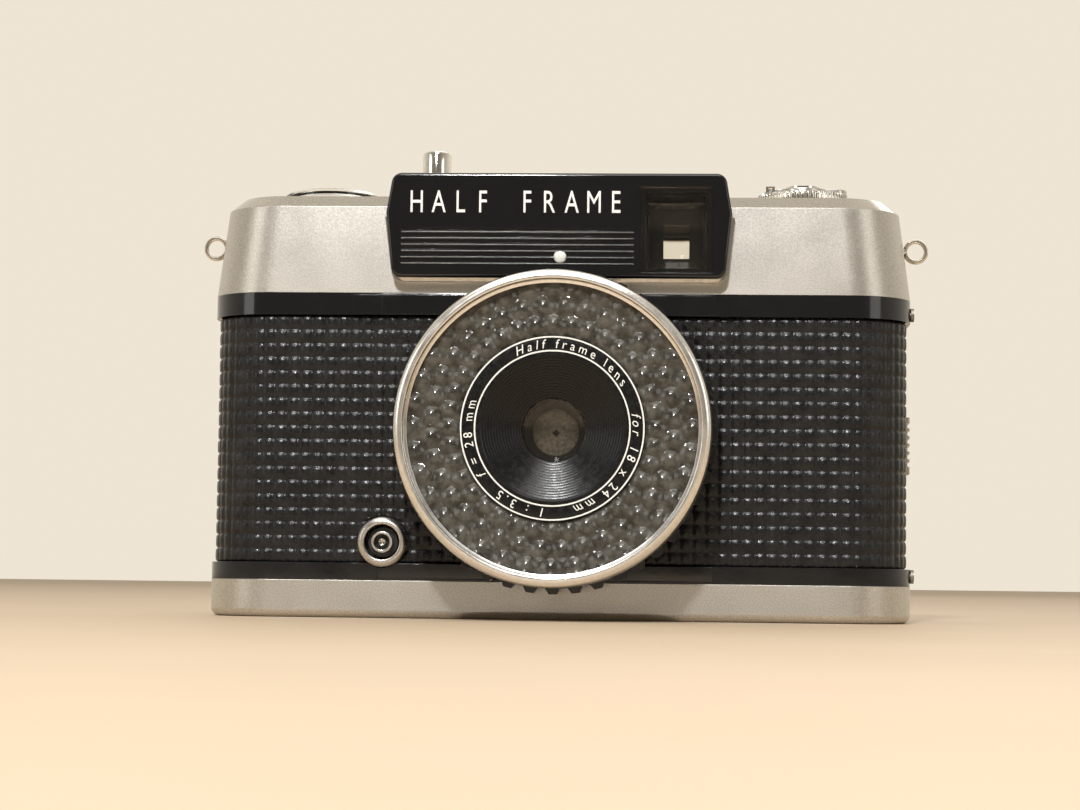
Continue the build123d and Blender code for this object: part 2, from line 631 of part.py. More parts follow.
def pressure_plate():
    plate = block(-13.0, 13.0, FILM_Y + 0.2, FILM_Y + 1.0, LENS_Z - 17.0, LENS_Z + 17.0)
    plate = fillet(plate.edges().filter_by(Axis.Y), 1.5)
    for side in (-1, 1):
        plate -= rod(side * 10.5, LENS_Z, 1.0, 8, 12)
    return plate


def plate_rivets():
    return Compound([rod(side * 10.5, LENS_Z, 0.9, FILM_Y + 0.3, 11.49) for side in (-1, 1)])


def rewind_release():
    x, y = SPROCKET
    return post(x, y, 2.4, 0.4, 3.8) + post(x, y, 3.6, 1.15, 1.7) + post(x, y, 1.4, 3.7, 5.3)


def main():
    casting_nodes = ("casting_spool_end", "body_casting", "casting_cartridge_end")
    for node, piece in zip(casting_nodes, cast_in_three(body_casting())):
        save(piece, node)
    save(top_cover(), "top_cover")
    save(base_plate(), "base_plate")
    save(tripod_bush(), "tripod_bush")
    save(leatherette_front(-1), "leatherette_left")
    save(leatherette_front(1), "leatherette_right")
    save(leatherette_back(), "leatherette_back")
    save(front_bezel(), "front_bezel")
    save(rod(*INDEX_DOT, 0.95, -17.65, -17.25), "index_dot")
    save(glass_plate(WINDOW_HALF[0] - 0.1, -17.2, -16.63, WINDOW_HALF[1] - 0.1), "finder_window")
    save(finder_tunnel(), "finder_tunnel")
    finder_pair = [finder_lens(-8.0, 2.2, 4.4, 5.5, 1.2), finder_lens(12.5, 1.4, 3.2, 2.2, 0.3)]
    save(Compound(finder_pair), "finder_lenses")
    save(eyepiece_frame(), "eyepiece_frame")
    save(lens_mount(), "lens_mount")
    save(lens_barrel(), "lens_barrel")
    save(setting_ring(), "setting_ring")
    save(front_ring(), "front_ring")
    save(annulus(NAME_R + 0.05, FILTER_R - 0.1, -28.9, -28.0), "bubble_window")
    save(annulus(NAME_R + 0.1, 21.4, -27.7, -26.95), "selenium_cell")
    save(annulus(CONE_R + 0.05, NAME_R, -28.9, -27.0), "name_ring")
    save(lens_cell(), "lens_cell")
    save(lens_element(4.65, -24.1, -22.4, 0.0, 0.5), "lens_element_front")
    middle = lens_element(4.65, -20.4, -18.4, -0.6, -0.5)
    doublet = [lens_element(4.7, -12.6, -10.2, -0.5, 0.0), lens_element(4.7, -10.18, -8.2, 0.0, 0.7)]
    save(Compound([middle, *doublet]), "lens_elements_inner")
    save(shutter_unit(), "shutter_unit")
    for name in BLADE_Y:
        save(blade(name), f"{name}_blade")
    save(rear_cell(), "rear_cell")
    save(sync_collar(), "sync_collar")
    for shape, node in zip(sync_pieces(), ("sync_insulator", "sync_sleeve", "sync_pin")):
        save(shape, node)
    save(strap_lug(-1), "strap_lug_left")
    save(strap_lug(1), "strap_lug_right")
    save(hot_shoe(), "hot_shoe")
    save(Compound(base_screws() + shoe_screws()), "screws")
    save(wind_wheel(), "wind_wheel")
    save(take_up_spool(), "take_up_spool")
    save(sprocket_drum(), "sprocket_drum")
    save(counter_dial(), "counter_dial")
    save(counter_window(), "counter_window")
    save(rewind_knob(), "rewind_knob")
    save(rewind_crank(), "rewind_crank")
    save(crank_pin(), "crank_pin")
    save(rewind_shaft(), "rewind_shaft")
    save(rewind_sleeve(), "rewind_sleeve")
    save(shutter_button(), "shutter_button")
    save(button_guide(), "button_guide")
    save(meter_movement(), "meter_movement")
    save(meter_needle(), "meter_needle")
    save(back_door(), "back_door")
    save(door_latch(), "door_latch")
    save(catch_studs(), "catch_studs")
    save(hinge_pin(), "hinge_pin")
    save(pressure_plate(), "pressure_plate")
    save(plate_rivets(), "plate_rivets")
    save(rewind_release(), "rewind_release")


main()
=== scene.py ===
"""Looks for the half frame camera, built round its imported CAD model.

Pieces are laid out in millimetres up to the moment a mesh is made; the studio is laid out in metres.
Most heights, widths and centres come from the frame's boxes, so that a piece follows its CAD node.
Each group of pieces has its own function; the materials come first because every piece takes one.
"""

import json
import math
import random

import bmesh
import bpy
from mathutils import Matrix, Vector


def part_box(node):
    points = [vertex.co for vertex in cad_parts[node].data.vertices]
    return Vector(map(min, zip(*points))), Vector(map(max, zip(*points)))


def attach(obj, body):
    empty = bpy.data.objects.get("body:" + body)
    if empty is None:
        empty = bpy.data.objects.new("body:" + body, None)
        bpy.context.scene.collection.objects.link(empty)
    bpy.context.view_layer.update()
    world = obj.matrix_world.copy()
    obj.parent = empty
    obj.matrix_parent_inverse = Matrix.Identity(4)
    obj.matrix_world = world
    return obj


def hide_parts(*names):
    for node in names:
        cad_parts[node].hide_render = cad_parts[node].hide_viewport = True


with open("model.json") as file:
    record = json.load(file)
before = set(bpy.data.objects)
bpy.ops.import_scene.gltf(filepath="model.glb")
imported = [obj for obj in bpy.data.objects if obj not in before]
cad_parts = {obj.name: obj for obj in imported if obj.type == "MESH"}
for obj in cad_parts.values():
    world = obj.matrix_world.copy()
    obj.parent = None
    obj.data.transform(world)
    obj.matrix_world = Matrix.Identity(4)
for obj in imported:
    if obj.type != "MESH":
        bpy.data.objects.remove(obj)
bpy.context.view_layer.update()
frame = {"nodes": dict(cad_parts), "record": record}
NODES = frame["nodes"]
MM = 0.001
TAU = 2 * math.pi

BODY_OF = {node: body for body, nodes in frame["record"]["behaviour"]["bodies"].items() for node in nodes}
SLOT_OF = {row["node"]: row["material_slot"] for row in frame["record"]["subparts"]}


def box_mm(node):
    low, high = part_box(node)
    return low / MM, high / MM


def middle_mm(node):
    low, high = box_mm(node)
    return (low + high) / 2


RING_LOW, RING_HIGH = box_mm("front_ring")
LENS_X = (RING_LOW.x + RING_HIGH.x) / 2
LENS_Z = (RING_LOW.z + RING_HIGH.z) / 2


# ---------------------------------------------------------------- materials

class Finish:
    """A procedural material on one Principled shader. Patterns are sized by their grain in millimetres."""

    def __init__(self, name, color, metallic=0.0, roughness=0.5, **sockets):
        self.material = bpy.data.materials.new(name)
        self.material.use_nodes = True
        self.nodes = self.material.node_tree.nodes
        self.links = self.material.node_tree.links
        self.shader = self.nodes["Principled BSDF"]
        self.shader.inputs["Base Color"].default_value = (*color, 1)
        self.shader.inputs["Metallic"].default_value = metallic
        self.shader.inputs["Roughness"].default_value = roughness
        for socket, value in sockets.items():
            self.shader.inputs[socket.replace("_", " ")].default_value = value
        self.place = self.nodes.new("ShaderNodeTexCoord").outputs["Object"]
        self.relief = None

    def noise(self, grain_mm, detail=3.0):
        node = self.nodes.new("ShaderNodeTexNoise")
        node.inputs["Scale"].default_value = 1 / (grain_mm * MM)
        node.inputs["Detail"].default_value = detail
        self.links.new(self.place, node.inputs["Vector"])
        return node.outputs["Fac"]

    def cells(self, grain_mm):
        node = self.nodes.new("ShaderNodeTexVoronoi")
        node.inputs["Scale"].default_value = 1 / (grain_mm * MM)
        self.links.new(self.place, node.inputs["Vector"])
        return node.outputs["Distance"]

    def scaled(self, value, low, high, start=0.35, end=0.65):
        node = self.nodes.new("ShaderNodeMapRange")
        node.inputs["From Min"].default_value = start
        node.inputs["From Max"].default_value = end
        node.inputs["To Min"].default_value = low
        node.inputs["To Max"].default_value = high
        self.links.new(value, node.inputs["Value"])
        return node.outputs["Result"]

    def color_between(self, value, first, second, start=0.35, end=0.65):
        node = self.nodes.new("ShaderNodeMix")
        node.data_type = "RGBA"
        node.inputs["A"].default_value = (*first, 1)
        node.inputs["B"].default_value = (*second, 1)
        self.links.new(self.scaled(value, 0, 1, start, end), node.inputs["Factor"])
        self.links.new(node.outputs["Result"], self.shader.inputs["Base Color"])
        return self

    def roughness_between(self, value, low, high):
        self.links.new(self.scaled(value, low, high), self.shader.inputs["Roughness"])
        return self

    def bump(self, value, height_mm, strength=1.0):
        node = self.nodes.new("ShaderNodeBump")
        node.inputs["Strength"].default_value = strength
        node.inputs["Distance"].default_value = height_mm * MM
        self.links.new(value, node.inputs["Height"])
        if self.relief:
            self.links.new(self.relief, node.inputs["Normal"])
        self.relief = node.outputs["Normal"]
        self.links.new(self.relief, self.shader.inputs["Normal"])
        return self

    def math(self, operation, first, second):
        node = self.nodes.new("ShaderNodeMath")
        node.operation = operation
        node.use_clamp = True
        for socket, value in zip(node.inputs, (first, second)):
            if isinstance(value, (int, float)):
                socket.default_value = value
            else:
                self.links.new(value, socket)
        return node.outputs[0]


def satin_cover():
    """Blasted silver with a fine sparkle, and a polished slope round the cover's top edge."""
    finish = Finish("satin_cover", (0.6, 0.575, 0.53), 1.0, 0.36)
    grain = finish.noise(0.2, 2.0)
    finish.color_between(grain, (0.49, 0.47, 0.43), (0.66, 0.635, 0.59))
    finish.bump(grain, 0.02, 0.6)
    geometry = finish.nodes.new("ShaderNodeNewGeometry")
    split = finish.nodes.new("ShaderNodeSeparateXYZ")
    finish.links.new(geometry.outputs["Normal"], split.inputs[0])
    sloped = finish.math("MULTIPLY", finish.scaled(split.outputs["Z"], 0, 1, 0.25, 0.40),
                         finish.scaled(split.outputs["Z"], 1, 0, 0.88, 0.97))
    height = finish.nodes.new("ShaderNodeSeparateXYZ")
    finish.links.new(finish.place, height.inputs[0])
    shoulder = box_mm("top_cover")[0].z + 12
    high_up = finish.scaled(height.outputs["Z"], 0, 1, shoulder * MM, (shoulder + 0.6) * MM)
    polished = finish.math("MULTIPLY", sloped, high_up)
    blasted = finish.scaled(finish.noise(6.0), 0.345, 0.38)
    rough = finish.math("SUBTRACT", blasted, finish.math("MULTIPLY", polished, 0.22))
    finish.links.new(rough, finish.shader.inputs["Roughness"])
    return finish.material


def black_casting():
    finish = Finish("black_casting", (0.006, 0.006, 0.007), 0.0, 0.1, Coat_Weight=0.2, Coat_Roughness=0.05)
    finish.roughness_between(finish.noise(5.0, 4.0), 0.08, 0.17)
    return finish.bump(finish.noise(1.3, 2.0), 0.02, 0.25).material


def leatherette():
    """Charcoal vinyl: the cushions are in the mesh, the grain is here."""
    finish = Finish("leatherette", (0.01, 0.01, 0.0105), 0.0, 0.3, Specular_IOR_Level=0.32)
    finish.color_between(finish.noise(2.6, 4.0), (0.006, 0.0062, 0.007), (0.016, 0.016, 0.016))
    finish.roughness_between(finish.noise(0.5, 3.0), 0.2, 0.34)
    finish.bump(finish.cells(0.22), 0.03, 0.55)
    return finish.bump(finish.noise(0.5, 4.0), 0.05, 0.4).material


def bezel_black():
    finish = Finish("bezel_black", (0.005, 0.005, 0.006), 0.0, 0.07, Coat_Weight=0.2, Coat_Roughness=0.03)
    finish.roughness_between(finish.noise(7.0, 5.0), 0.05, 0.13)
    return finish.bump(finish.noise(4.0, 1.0), 0.02, 0.12).material


def matte_black():
    finish = Finish("matte_black", (0.014, 0.014, 0.015), 0.0, 0.4)
    finish.roughness_between(finish.noise(1.2), 0.3, 0.48)
    return finish.bump(finish.noise(0.2), 0.01, 0.4).material


def funnel_black():
    finish = Finish("funnel_black", (0.004, 0.004, 0.0045), 0.0, 0.26, Specular_IOR_Level=0.35)
    finish.roughness_between(finish.noise(0.9), 0.2, 0.32)
    return finish.bump(finish.noise(0.3), 0.006, 0.3).material


def enamel(name, first, second, roughness=0.3):
    finish = Finish(name, first, 0.0, roughness)
    finish.color_between(finish.noise(0.7), first, second)
    return finish.bump(finish.noise(0.25), 0.006, 0.3).material


def metal(name, dark, pale, smooth, rough, grain_mm, depth_mm=0.004):
    finish = Finish(name, pale, 1.0, (smooth + rough) / 2)
    mottle = finish.noise(grain_mm)
    finish.color_between(mottle, dark, pale)
    finish.roughness_between(finish.noise(3.0, 5.0), smooth, rough)
    return finish.bump(mottle, depth_mm, 0.4).material


def clear(name, tint, roughness, grain_mm, **sockets):
    finish = Finish(name, tint, 0.0, roughness, Transmission_Weight=1.0, **sockets)
    finish.roughness_between(finish.noise(grain_mm * 3), roughness, roughness + 0.04)
    return finish.bump(finish.noise(grain_mm), 0.01, 0.1).material


def bubble_plastic():
    """The honeycomb window: grey-brown plastic, with a painted light and dark mottle that stands for the room
    refracted through the lenses.
    """
    finish = Finish("bubble_plastic", (0.1, 0.1, 0.08), 0.0, 0.06, Transmission_Weight=0.2, IOR=1.49)
    # Painted refraction: this noise mottle between dark and pale grey-brown imitates light bent through the
    # domes; the grey-brown tint itself is the plastic's own.
    finish.color_between(finish.noise(1.4, 4.0), (0.04, 0.037, 0.03), (0.125, 0.12, 0.104), 0.36, 0.66)
    finish.roughness_between(finish.noise(1.1), 0.04, 0.09)
    return finish.bump(finish.noise(0.7), 0.006, 0.3).material


def selenium():
    finish = Finish("selenium", (0.09, 0.085, 0.078), 0.35, 0.4)
    finish.color_between(finish.noise(1.6, 4.0), (0.05, 0.047, 0.04), (0.2, 0.19, 0.165))
    return finish.bump(finish.noise(0.4), 0.02, 0.5).material


def coated_glass():
    return clear("coated_glass", (0.97, 0.96, 0.93), 0.01, 6.0, IOR=1.3)


MATERIALS = {
    "satin_cover": satin_cover(),
    "black_casting": black_casting(),
    "leatherette": leatherette(),
    "bezel_black": bezel_black(),
    "matte_black": matte_black(),
    "index_white": enamel("index_white", (0.62, 0.64, 0.58), (0.8, 0.8, 0.76)),
    "name_black": funnel_black(),
    "chrome": metal("chrome", (0.76, 0.73, 0.68), (0.86, 0.83, 0.78), 0.045, 0.11, 0.8, depth_mm=0.002),
    "satin_steel": metal("satin_steel", (0.5, 0.48, 0.45), (0.68, 0.66, 0.62), 0.22, 0.34, 0.2),
    "dark_steel": metal("dark_steel", (0.2, 0.18, 0.155), (0.36, 0.33, 0.29), 0.4, 0.55, 0.5),
    "steel_parts": metal("steel_parts", (0.48, 0.46, 0.44), (0.66, 0.64, 0.61), 0.18, 0.32, 0.25),
    "brass_parts": metal("brass_parts", (0.48, 0.34, 0.15), (0.72, 0.54, 0.26), 0.2, 0.36, 0.3),
    "clear_glass": coated_glass(),
    "clear_plastic": clear("clear_plastic", (0.95, 0.95, 0.93), 0.03, 2.0, IOR=1.49),
    "selenium": selenium(),
    "spool_plastic": matte_black(),
    "dial": enamel("dial", (0.02, 0.02, 0.021), (0.034, 0.034, 0.034), 0.35),
}
WHITE_PAINT = enamel("white_paint", (0.78, 0.78, 0.74), (0.88, 0.88, 0.84), 0.4)
RING_CHROME = metal("ring_chrome", (0.8, 0.78, 0.74), (0.88, 0.86, 0.82), 0.2, 0.27, 0.6, depth_mm=0.002)
BUBBLE = bubble_plastic()
RIB_GREY = enamel("rib_grey", (0.03, 0.03, 0.03), (0.05, 0.05, 0.048), 0.22)


# ---------------------------------------------------------------- making meshes

def add_piece(name, verts, faces, body, slot, material, replaced=(), sharp=35.0):
    """Makes a mesh piece from points in millimetres, facing outwards, and ties it to its body."""
    mesh = bpy.data.meshes.new(name)
    mesh.from_pydata([Vector(v) * MM for v in verts], [], faces)
    clean = bmesh.new()
    clean.from_mesh(mesh)
    bmesh.ops.remove_doubles(clean, verts=clean.verts, dist=1e-7)
    bmesh.ops.recalc_face_normals(clean, faces=clean.faces)
    clean.to_mesh(mesh)
    clean.free()
    mesh.shade_smooth()
    mesh.set_sharp_from_angle(angle=math.radians(sharp))
    mesh.materials.append(material)
    piece = bpy.data.objects.new(name, mesh)
    bpy.context.scene.collection.objects.link(piece)
    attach(piece, body)
    if replaced:
        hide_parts(*replaced)
    return piece


def soften(profile, radius, steps=3):
    """Rounds every corner of a closed profile."""
    points = [Vector(p) for p in profile]
    rounded = []
    for i, corner in enumerate(points):
        before = points[i - 1] - corner
        after = points[(i + 1) % len(points)] - corner
        start = corner + before.normalized() * min(radius, before.length * 0.45)
        end = corner + after.normalized() * min(radius, after.length * 0.45)
        for k in range(steps + 1):
            t = k / steps
            rounded.append((1 - t) ** 2 * start + 2 * t * (1 - t) * corner + t * t * end)
    return rounded


def about_y(x, z):
    return lambda radius, along, angle: (x + radius * math.cos(angle), along, z + radius * math.sin(angle))


def about_z(x, y):
    return lambda radius, along, angle: (x + radius * math.cos(angle), y + radius * math.sin(angle), along)


def lathe(profile, place, segments=96, closed=True):
    """Turns a profile of (radius, along) points. An open profile starts and ends on the axis."""
    verts, rings = [], []
    for radius, along in profile:
        count = 1 if radius < 1e-6 else segments
        rings.append(range(len(verts), len(verts) + count))
        verts += [place(radius, along, TAU * k / segments) for k in range(count)]
    pairs = list(zip(rings, rings[1:]))
    if closed:
        pairs.append((rings[-1], rings[0]))
    faces = []
    for first, second in pairs:
        for k in range(segments):
            a, b = first[k % len(first)], first[(k + 1) % len(first)]
            c, d = second[(k + 1) % len(second)], second[k % len(second)]
            face = [v for i, v in enumerate((a, b, c, d)) if v not in (a, b, c, d)[:i]]
            if len(face) > 2:
                faces.append(face)
    return verts, faces


def turned(name, profile, place, node, radius, segments):
    """A turned piece with softened corners that stands for a CAD node."""
    verts, faces = lathe(soften(profile, radius), place, segments)
    slot = SLOT_OF[node]
    return add_piece(name, verts, faces, BODY_OF[node], slot, MATERIALS[slot], [node])


def prism(outline, place, low, high):
    """Straight walls and two caps from a flat outline; place maps (u, v, level) to a point."""
    count = len(outline)
    verts = [place(u, v, low) for u, v in outline] + [place(u, v, high) for u, v in outline]
    faces = [[k, (k + 1) % count, count + (k + 1) % count, count + k] for k in range(count)]
    return verts, faces + [list(range(count)), list(range(count, 2 * count))]


def joined(parts):
    """One vertex and face list from several."""
    verts, faces = [], []
    for more_verts, more_faces in parts:
        base = len(verts)
        verts += more_verts
        faces += [[base + v for v in face] for face in more_faces]
    return verts, faces


def glyphs(text, height, width=1.0, raised=0.04, spacing=1.0):
    """Raised letters in millimetres, centred on the origin: (across, up, out) points and faces."""
    curve = bpy.data.curves.new("glyphs", "FONT")
    curve.body = text
    curve.size = height / 0.7
    curve.extrude = raised / 2
    curve.resolution_u = 4
    curve.space_character = spacing
    curve.align_x = "CENTER"
    holder = bpy.data.objects.new("glyphs", curve)
    bpy.context.scene.collection.objects.link(holder)
    graph = bpy.context.evaluated_depsgraph_get()
    mesh = bpy.data.meshes.new_from_object(holder.evaluated_get(graph))
    verts = [(v.co.x * width, v.co.y - height / 2, v.co.z + raised / 2) for v in mesh.vertices]
    faces = [list(p.vertices) for p in mesh.polygons]
    bpy.data.objects.remove(holder)
    bpy.data.curves.remove(curve)
    bpy.data.meshes.remove(mesh)
    return verts, faces


def mapped(shape, place):
    verts, faces = shape
    return [place(*v) for v in verts], faces


# ---------------------------------------------------------------- leatherette

SKIN_LOW = box_mm("leatherette_left")[0]
END_X = -SKIN_LOW.x
FRONT_Y = -SKIN_LOW.y
CORNER = 9.5
CUSHION = 1.89, 2.1
GROOVE = 0.3
STEPS = (-1.0, -0.74, -0.3, 0.3, 0.74)
SHEET_THICK = 0.24
HINGE_SEAM_X = 48.5
DOOR_SEAM = 0.2
LATCH_WINDOW = (-2.3, 3.5, 19.2, 34.8)
COLLAR_HOLE_R = 3.95
MOUNT = (LENS_X, LENS_Z, (box_mm("lens_mount")[1].x - box_mm("lens_mount")[0].x) / 2 + 0.1)
COLLAR = middle_mm("sync_collar")
SYNC = (COLLAR.x, COLLAR.z, COLLAR_HOLE_R)


def round_the_body(s):
    """Point and outward direction on the covering's outer line, s mm from its front middle towards +X."""
    side = 1 if s >= 0 else -1
    s = abs(s)
    front = END_X - CORNER
    bend = CORNER * math.pi / 2
    end = 2 * (FRONT_Y - CORNER)
    if s < front:
        return side * s, -FRONT_Y, 0.0, -1.0
    if s < front + bend:
        turn = (s - front) / CORNER
        across, along = math.sin(turn), -math.cos(turn)
        return side * (front + CORNER * across), -FRONT_Y + CORNER + CORNER * along, side * across, along
    if s < front + bend + end:
        return side * END_X, -FRONT_Y + CORNER + s - front - bend, side * 1.0, 0.0
    if s < front + 2 * bend + end:
        turn = (s - front - bend - end) / CORNER
        across, along = math.cos(turn), math.sin(turn)
        return side * (front + CORNER * across), FRONT_Y - CORNER + CORNER * along, side * across, along
    return side * (front - (s - front - 2 * bend - end)), FRONT_Y, 0.0, 1.0


def pillow(t):
    return 1 - t ** 6


def push_out(x, z, hole):
    """Moves a point inside a round hole to the hole's edge."""
    away = Vector((x - hole[0], z - hole[1]))
    if away.length >= hole[2] or away.length < 1e-6:
        return x, z
    away *= hole[2] / away.length
    return hole[0] + away.x, hole[1] + away.y


def leather_sheet(node, start, end, holes=(), window=None):
    """Embossed covering from start to end round the body, with rows of raised cushions."""
    low, high = box_mm(node)
    columns = max(1, round(abs(end - start) / CUSHION[0]))
    rows = round((high.z - low.z) / CUSHION[1])
    dice = random.Random(7)
    lift = [[dice.uniform(0.0, 0.05) for _ in range(rows)] for _ in range(columns)]
    across = [(c, t) for c in range(columns) for t in STEPS] + [(columns - 1, 1.0)]
    up = [(r, t) for r in range(rows) for t in STEPS] + [(rows - 1, 1.0)]
    verts, inside = [], []
    for c, t in across:
        s = start + (end - start) * (c + (t + 1) / 2) / columns
        x, y, out_x, out_y = round_the_body(s)
        for r, v in up:
            z = low.z + (high.z - low.z) * (r + (v + 1) / 2) / rows
            drop = GROOVE * (1 - pillow(v) * (1 - 0.85 * t * t)) + lift[c][r]
            px, pz, cut = x, z, False
            if y < 0 and abs(out_x) < 1e-6:
                for hole in holes:
                    new_x, new_z = push_out(px, pz, hole)
                    cut = cut or (new_x, new_z) != (px, pz)
                    px, pz = new_x, new_z
            elif window and window[0] < y < window[1] and window[2] < z < window[3] and x > 0:
                cut = True
            verts.append((px - out_x * drop, y - out_y * drop, pz))
            inside.append(cut)
    height = len(up)
    faces = []
    for i in range(len(across) - 1):
        for j in range(height - 1):
            a = i * height + j
            face = [a, a + height, a + height + 1, a + 1]
            if not all(inside[v] for v in face):
                faces.append(face)
    slot = SLOT_OF[node]
    sheet = add_piece(node + "_embossed", verts, faces, BODY_OF[node], slot, MATERIALS[slot], [node], 80)
    loose = bmesh.new()
    loose.from_mesh(sheet.data)
    bmesh.ops.delete(loose, geom=[v for v in loose.verts if not v.link_faces], context="VERTS")
    centres = [(face, face.calc_center_median()) for face in loose.faces]
    outward = sum(face.normal.dot(Vector((centre.x, centre.y, 0))) for face, centre in centres)
    if outward < 0:
        bmesh.ops.reverse_faces(loose, faces=loose.faces)
    loose.to_mesh(sheet.data)
    loose.free()
    thick = sheet.modifiers.new("thickness", "SOLIDIFY")
    thick.thickness = SHEET_THICK * MM
    thick.offset = -1
    return sheet


def coverings():
    front = END_X - CORNER
    bend = CORNER * math.pi / 2
    end = 2 * (FRONT_Y - CORNER)
    hinge_turn = math.acos(min(1.0, (HINGE_SEAM_X - front) / CORNER))
    leather_sheet("leatherette_left", 0, -(front + bend + end + CORNER * hinge_turn), [MOUNT, SYNC])
    door_edge = box_mm("leatherette_back")[0].y
    seam = front + bend + door_edge + FRONT_Y - CORNER
    leather_sheet("leatherette_right", 0, seam - DOOR_SEAM, [MOUNT])
    back_end = front + 2 * bend + end + front - box_mm("leatherette_back")[0].x
    leather_sheet("leatherette_back", seam, back_end, window=LATCH_WINDOW)


# ---------------------------------------------------------------- lens

def chrome_ring():
    """Rounded front ring with a fine filter thread inside its mouth."""
    front, back = RING_LOW.y, RING_HIGH.y
    outer = (RING_HIGH.x - RING_LOW.x) / 2
    mouth = outer - 1.5
    profile = [(outer - 0.75, back), (outer - 0.3, back), (outer, back - 0.8), (outer, front + 1.9),
               (outer - 0.06, front + 1.1), (outer - 0.2, front + 0.55), (outer - 0.42, front + 0.24),
               (mouth + 0.16, front), (mouth + 0.03, front + 0.08), (mouth, front + 0.3)]
    thread_start, pitch = front + 0.45, 0.4
    for turn in range(4):
        at = thread_start + turn * pitch
        profile += [(mouth, at), (mouth + 0.09, at + pitch / 2)]
    profile += [(mouth, front + 2.05), (outer - 0.75, front + 2.05)]
    verts, faces = lathe(profile, about_y(LENS_X, LENS_Z), 192)
    add_piece("front_ring_turned", verts, faces, "root", "chrome", RING_CHROME, ["front_ring"], 50)


def bubble_window():
    """Annular plastic window covered in three rings of small domes."""
    low, high = box_mm("bubble_window")
    inner, outer = 13.62, (high.x - low.x) / 2
    peak = 0.62
    back, floor = high.y, low.y + peak
    dome_rings = ((15.15, 0.0), (17.85, 0.5), (20.5, 0.0))
    count, dome_r = 36, 2.15
    around, across = count * 12, 40

    def height(radius, angle):
        best = 0.0
        for ring_r, offset in dome_rings:
            turn = round(angle / TAU * count - offset) + offset
            gap = angle - turn * TAU / count
            away = (radius * math.cos(gap) - ring_r) ** 2 + (radius * math.sin(gap)) ** 2
            best = max(best, peak - away / (2 * dome_r))
        return best

    place = about_y(LENS_X, LENS_Z)
    verts, faces = [], []
    radii = [inner + (outer - inner) * j / across for j in range(across + 1)]
    for i in range(around):
        angle = TAU * i / around
        verts += [place(r, floor - height(r, angle), angle) for r in radii]
        verts += [place(outer, back, angle), place(inner, back, angle)]
    ring = across + 3
    for i in range(around):
        here, there = i * ring, (i + 1) % around * ring
        faces += [[here + j, there + j, there + (j + 1) % ring, here + (j + 1) % ring] for j in range(ring)]
    add_piece("bubble_window_domes", verts, faces, "root", "clear_plastic", BUBBLE, ["bubble_window"], 50)


def retaining_lip():
    """Bright edge inside the ring that holds the plastic window."""
    outer = (RING_HIGH.x - RING_LOW.x) / 2
    at = RING_LOW.y + 2.07
    wide, narrow, back = outer - 1.45, outer - 1.95, at + 0.35
    profile = [(wide, at), (narrow, at + 0.1), (narrow, back), (wide, back)]
    verts, faces = lathe(soften(profile, 0.06), about_y(LENS_X, LENS_Z), 128)
    add_piece("retaining_lip", verts, faces, "root", "chrome", RING_CHROME)


def lens_stop():
    """Black ring behind the glass that leaves a smaller round opening on the blades."""
    at = box_mm("shutter_unit")[0].y
    hole, edge, front, back = 3.5, 5.6, at - 0.12, at - 0.03
    profile = [(hole, front), (edge, front), (edge, back), (hole, back)]
    verts, faces = lathe(profile, about_y(LENS_X, LENS_Z), 64)
    add_piece("lens_stop", verts, faces, "root", "matte_black", MATERIALS["matte_black"])


def cell_grid():
    """Fine ribs over the selenium cell, seen through the domes."""
    low, high = box_mm("selenium_cell")
    profile = [(13.7, high.y), (13.7, low.y + 0.2)]
    foot, crest = low.y + 0.16, low.y
    for k in range(19):
        radius = 14.1 + k * 0.4
        profile += [(radius - 0.12, foot), (radius - 0.08, crest)]
        profile += [(radius + 0.08, crest), (radius + 0.12, foot)]
    profile.append((21.38, high.y))
    verts, faces = lathe(profile, about_y(LENS_X, LENS_Z), 96)
    add_piece("selenium_ribs", verts, faces, "root", "selenium", MATERIALS["selenium"], ["selenium_cell"])


def on_arc(radius, middle_angle, front):
    """Bends lettering round the lens: its feet face the axis and it reads clockwise."""
    def place(across, up, out):
        angle = middle_angle - across / (radius + up / 2)
        reach = radius + up
        return LENS_X + reach * math.cos(angle), front - out, LENS_Z + reach * math.sin(angle)
    return place


def name_ring():
    low, high = box_mm("name_ring")
    outer, inner, front = (high.x - low.x) / 2, 11.2, low.y
    turned("name_ring_turned", [(inner, high.y), (outer, high.y), (outer, front), (inner, front)],
           about_y(LENS_X, LENS_Z), "name_ring", radius=0.1, segments=144)
    for k, radius in enumerate((outer - 0.14, inner + 0.13)):
        profile = [(radius - 0.11, front - 0.03), (radius + 0.11, front - 0.03), (radius + 0.11, front + 0.1),
                   (radius - 0.11, front + 0.1)]
        verts, faces = lathe(profile, about_y(LENS_X, LENS_Z), 144)
        add_piece(f"name_ring_line_{k}", verts, faces, "root", "index_white", WHITE_PAINT)
    text_height, text_radius = 1.3, 12.37
    wording = (("Half frame lens", 74), ("f = 28 mm", -172), ("1 : 3.5", -112), ("for 18 x 24 mm", -32))
    parts = []
    for text, angle in wording:
        letters = glyphs(text, text_height, 0.95, spacing=1.6)
        parts.append(mapped(letters, on_arc(text_radius, math.radians(angle), front)))
    verts, faces = joined(parts)
    add_piece("name_ring_text", verts, faces, "root", "index_white", WHITE_PAINT)


